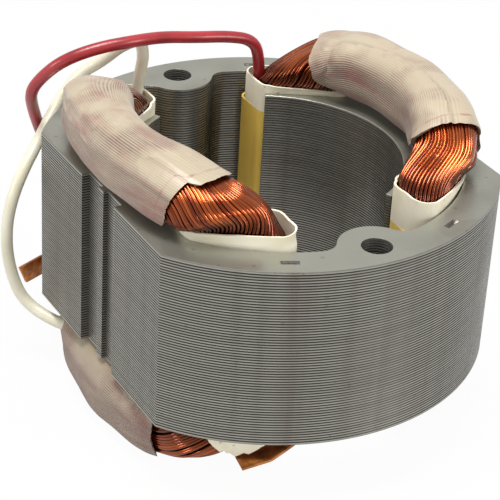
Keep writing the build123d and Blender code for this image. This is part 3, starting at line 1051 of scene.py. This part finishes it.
def makeCuff(level, end, side, material, bundle):
    key = f"{level} {end} {side}"
    neckRim, bossRim = cuffSetup["rims"][key]
    middle, half, raised, fray = cuffSetup["raised"].get(key, (0, 1, 0, 0))
    drawnIn = cuffSetup["drawnIn"].get(key, 0.0)
    lap = cuffSetup["laps"].get(key, cuffSetup["lap"])
    place = mirrorMatrix(level, side)
    flip = Vector((1, -1 if end == "front" else 1, 1))
    shift = ((level == "upper") * 4 + (end == "rear") * 2 + (side == "left")) * 3.7
    inset = cuffSetup["inset"]
    outer, inner = (roundedRing(slotCorners(inset + deeper), bundleSetup["slotBulge"],
                                cuffSetup["cornerRadius"] - deeper, arcSteps=8, sideSteps=18)
                    for deeper in (0, cuffSetup["wall"]))
    count = len(outer)
    openX, endX = bundleSetup["slotOpen"] + inset, bundleSetup["slotEnd"] - inset
    boss, levels = slotCorners(inset)[0], cuffSetup["levels"]

    def rim(point, index):
        share = (point.x - openX) / (endX - openX)
        height = bossRim + (neckRim - bossRim) * share
        away = abs((index / count - middle + 0.5) % 1.0 - 0.5) / half
        if away < 1:
            frayed = fray * wave(index * 0.9, 2, shift) * 1.6
            height += (raised + frayed) * (1 - away ** 2)
        return height + cuffSetup["ragged"] * wave(index * 0.35, shift, 1.0)

    def flared(point, clearance):
        # paper gives way where the wires lean on it
        near, normal, _, _ = bundle.find_nearest(point)
        gap = (point - near).dot(normal)
        if gap >= clearance or (point - near).length > cuffSetup["clearOnly"]:
            return point
        push = normal * (clearance - gap)
        return point + Vector((push.x, push.y, push.z * 0.3))

    def at(ring, index, rise, clearance):
        point = ring[index].copy()
        if rise <= 0:
            point.z = rise
            return point * flip
        point.z = rise * rim(point, index)
        full = min(1, 2 * rise)
        corner = 1 - (point - boss).length / cuffSetup["drawnReach"]
        if corner > 0:
            point.x += drawnIn * corner * full
            point.y -= 0.5 * drawnIn * corner * full
        centre = Vector((slotMiddle.x, slotMiddle.y, point.z))
        point += ((point - centre).normalized() * wave(index * 0.1, shift, rise * 0.8)
                  * cuffSetup["swell"] * rise)
        over = cuffSetup["lapStep"] * max(0, 1 - (index / count - lap) % 1.0
                                          / cuffSetup["lapFade"])
        point += (point - centre).normalized() * over * full
        return flared(point * flip, clearance)

    rings = [[place @ toRow(at(ring, index, rise, clearance)) for index in range(count)]
             for ring, heights, clearance in ((outer, levels, cuffSetup["outside"]),
                                              (inner, levels[::-1], cuffSetup["within"]))
             for rise in heights]
    name = "paperCuff" + level.capitalize() + end.capitalize() + side.capitalize()
    piece = newPiece(name, drawTube(rings), material, crisp=40)
    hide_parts(f"cuff_{level}_{end}_{side}")


paperMaterial = makePaperMaterial()
for level in ("upper", "lower"):
    for side in ("left", "right"):
        bundle = bundleTree(f"{level} {side}")
        for end in ("front", "rear"):
            makeCuff(level, end, side, paperMaterial, bundle)
print("cuffs folded")


def makeFilmMaterial():
    material, paint = newMaterial("slotFilm")
    tone = paint.uneven(paint.place(), 260.0, high=0.7, stretch=(1, 1, 0.25))
    color = paint.mix(tone["Mask"], (244, 210, 104), (228, 190, 84))
    paint.surface(color, paint.spread(tone["Height"], 0.3, 0.7, 0.4, 0.55), None,
                  {"Coat Weight": 0.15})
    return material


def makeStripMaterial():
    material, paint = newMaterial("tarnishedStrip")
    place = paint.place()
    fine = paint.uneven(place, 1500.0, detail=4.0)
    tone = paint.uneven(place, 240.0)["Mask"]
    color = paint.layers(paint.mix(tone, (214, 138, 76), (132, 78, 46)),
                         ((70, 46, 34), fine["Mask"], 0.3))
    paint.surface(color, paint.spread(fine["Height"], 0.3, 0.7, 0.3, 0.5), None,
                  {"Metallic": 0.9})
    return material


filmMaterial = makeFilmMaterial()
for end in ("front", "rear"):
    for side in ("left", "right"):
        film = nodes[f"slot_film_{end}_{side}"]
        film.data.materials.clear()
        film.data.materials.append(filmMaterial)


def makeStrip(name, nodeName, material):
    bm = bmesh.new()
    bm.from_mesh(nodes[nodeName].data)
    bmesh.ops.remove_doubles(bm, verts=bm.verts, dist=tiny)
    bmesh.ops.dissolve_limit(bm, angle_limit=math.radians(1), verts=bm.verts, edges=bm.edges)
    sharp = [e for e in bm.edges if e.is_manifold and e.calc_face_angle() > math.radians(60)]
    bmesh.ops.bevel(bm, geom=sharp, offset=0.08 * mm, offset_type="OFFSET", segments=2,
                    profile=0.5, affect="EDGES", material=-1, clamp_overlap=True)
    piece = newPiece(name, bm, material, crisp=40)
    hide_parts(nodeName)


stripMaterial = makeStripMaterial()
makeStrip("frontStrip", "contact_strip_front", stripMaterial)
makeStrip("rearStrip", "contact_strip_rear", stripMaterial)
print("films and strips finished")


studioSetup = {
    "floorSize": 3.0, "floorDrop": 0.2 * mm,
    "world": 0.62,
    "mirrored": 0.66,           # how white metal sees the room
    "floorMirrored": 0.5, "floorGlow": 0.96,
    "aim": (0, 0, 0.016),
    # name, place, size, power, tint
    "lamps": [("topLamp", (-0.10, -0.05, 0.85), 0.35, 6.8, (1, 0.99, 0.96)),
              ("leftLamp", (-0.75, 0.15, 0.30), 0.30, 1.9, (1, 0.99, 0.97)),
              ("frontLamp", (0.45, -0.80, 0.35), 0.30, 3.0, (1, 0.99, 0.97))],
}


def seenDirectly(paint, mirrored):
    # 1 for the camera, the given share for reflections, 0 for light that falls on things
    paths = paint.node("LightPath").outputs
    bounced = paint.calc("MAXIMUM", paths["Is Glossy Ray"], paths["Is Transmission Ray"])
    return paint.calc("MAXIMUM", paths["Is Camera Ray"], paint.times(bounced, mirrored))


def makeWorld():
    world = bpy.data.worlds.new("paleRoom")
    bpy.context.scene.world = world
    world.use_nodes = True
    world.node_tree.nodes.clear()
    paint = Paint(world.node_tree)
    strength = paint.calc("MAXIMUM", studioSetup["world"],
                          seenDirectly(paint, studioSetup["mirrored"]))
    room = paint.node("Background", {"Color": (1, 1, 1, 1), "Strength": strength})
    paint.node("OutputWorld", {0: room.outputs[0]})


def makeFloorMaterial():
    material, paint = newMaterial("paleFloor")
    matt = paint.node("BsdfPrincipled", {"Base Color": (0.6, 0.6, 0.6, 1), "Roughness": 0.9,
                                         "Specular IOR Level": 0.1})
    glow = paint.node("Emission", {"Color": (1, 1, 1, 1), "Strength": 1.0})
    share = paint.times(seenDirectly(paint, studioSetup["floorMirrored"]),
                        studioSetup["floorGlow"])
    mixer = paint.node("MixShader", {0: share, 1: matt.outputs[0], 2: glow.outputs[0]})
    paint.node("OutputMaterial", {0: mixer.outputs[0]})
    return material


def makeStudio():
    scene = bpy.context.scene
    scene.view_settings.view_transform = "Standard"
    makeWorld()
    bm = bmesh.new()
    bmesh.ops.create_grid(bm, x_segments=1, y_segments=1, size=studioSetup["floorSize"])
    level = cadBox[0].z - studioSetup["floorDrop"]
    bmesh.ops.translate(bm, verts=bm.verts, vec=(0, 0, level))
    mesh = bpy.data.meshes.new("studioFloor")
    bm.to_mesh(mesh)
    bm.free()
    mesh.materials.append(makeFloorMaterial())
    floor = bpy.data.objects.new("studioFloor", mesh)
    scene.collection.objects.link(floor)
    for name, place, size, power, tint in studioSetup["lamps"]:
        light = bpy.data.lights.new(name, "AREA")
        light.shape = "DISK"
        light.size, light.energy, light.color = size, power, tint
        lamp = bpy.data.objects.new(name, light)
        lamp.location = place
        toward = Vector(studioSetup["aim"]) - Vector(place)
        lamp.rotation_euler = toward.to_track_quat("-Z", "Y").to_euler()
        scene.collection.objects.link(lamp)


makeStudio()
print("studio lit")
